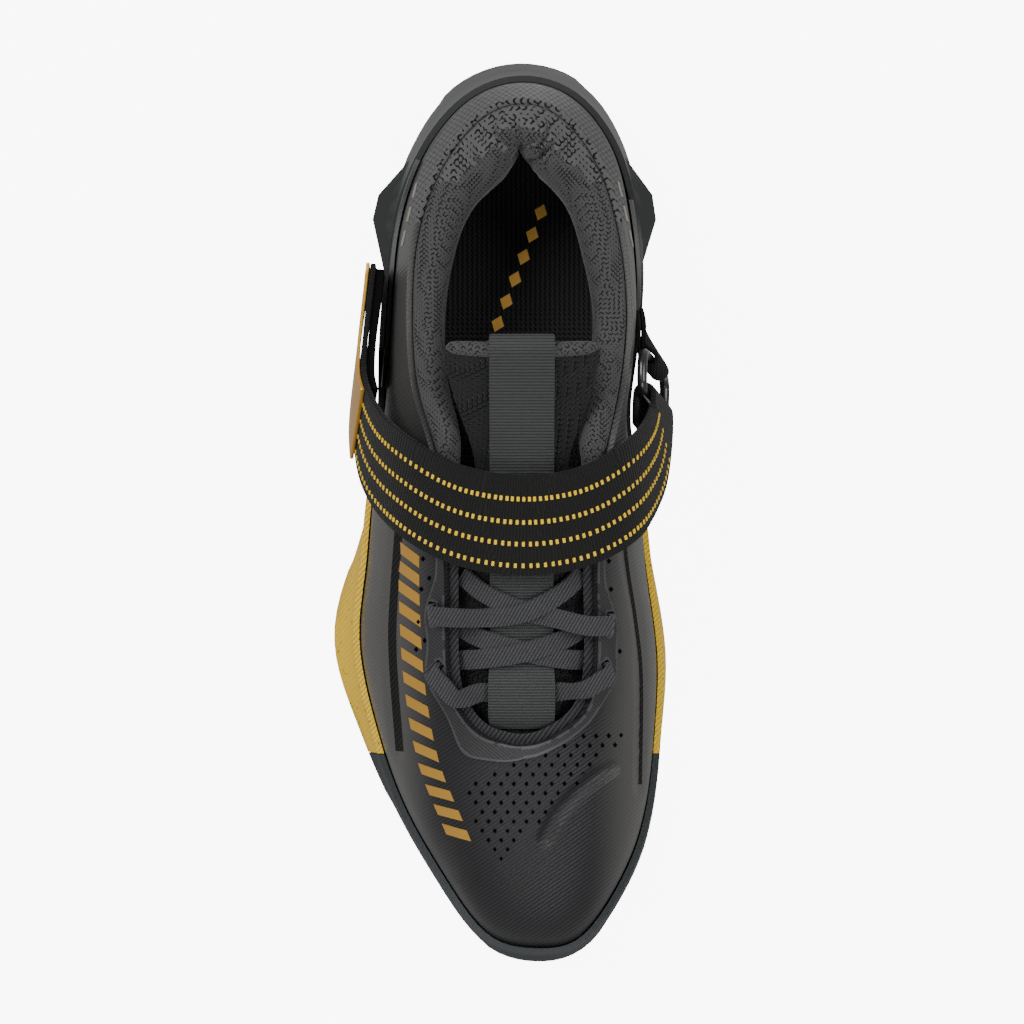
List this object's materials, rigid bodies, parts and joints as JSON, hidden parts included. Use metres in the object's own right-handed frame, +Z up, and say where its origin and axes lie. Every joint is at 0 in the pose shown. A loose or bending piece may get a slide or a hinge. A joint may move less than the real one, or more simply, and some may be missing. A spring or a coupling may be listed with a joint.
{
  "type": "weightlifting shoe",
  "caption": "Right weightlifting shoe with a firm raised heel, flared yellow midsole, short lacing and an elastic instep strap drawn through a side ring.",
  "frame": {"origin": "middle of the shoe's box, on the ground that the sole stands on", "axes": "+Z up, +Y from toe to heel, +X towards the big-toe side"},
  "size_m": [0.113, 0.2998, 0.1204],
  "materials": {
    "coated_textile": "charcoal woven textile with a soft coated sheen",
    "grey_knit": "matte padded spacer knit",
    "black_foam": "matte cloth-faced foam",
    "black_mesh": "matte open mesh",
    "grey_webbing": "matte ribbed woven tape",
    "black_elastic": "matte ribbed elastic webbing",
    "gold_film": "satin metallic film",
    "smoked_plastic": "glossy dark translucent moulding",
    "slate_rubber": "satin moulded rubber",
    "yellow_foam": "matte finely ribbed moulded foam",
    "grey_moulding": "semi-gloss firm moulding"
  },
  "bodies": {
    "root": {"upper": "coated_textile", "eyestay": "coated_textile", "collar": "grey_knit", "insole": "black_foam", "tongue": "black_mesh", "tongue_tape": "grey_webbing", "lace_bar": "grey_webbing", "lace_crossing_lower": "grey_webbing", "lace_crossing_upper": "grey_webbing", "strap": "black_elastic", "ring_webbing": "black_elastic", "strap_end_tab": "gold_film", "strap_ring": "smoked_plastic", "outsole": "slate_rubber", "midsole": "yellow_foam", "heel_block": "grey_moulding"}
  },
  "joints": []
}
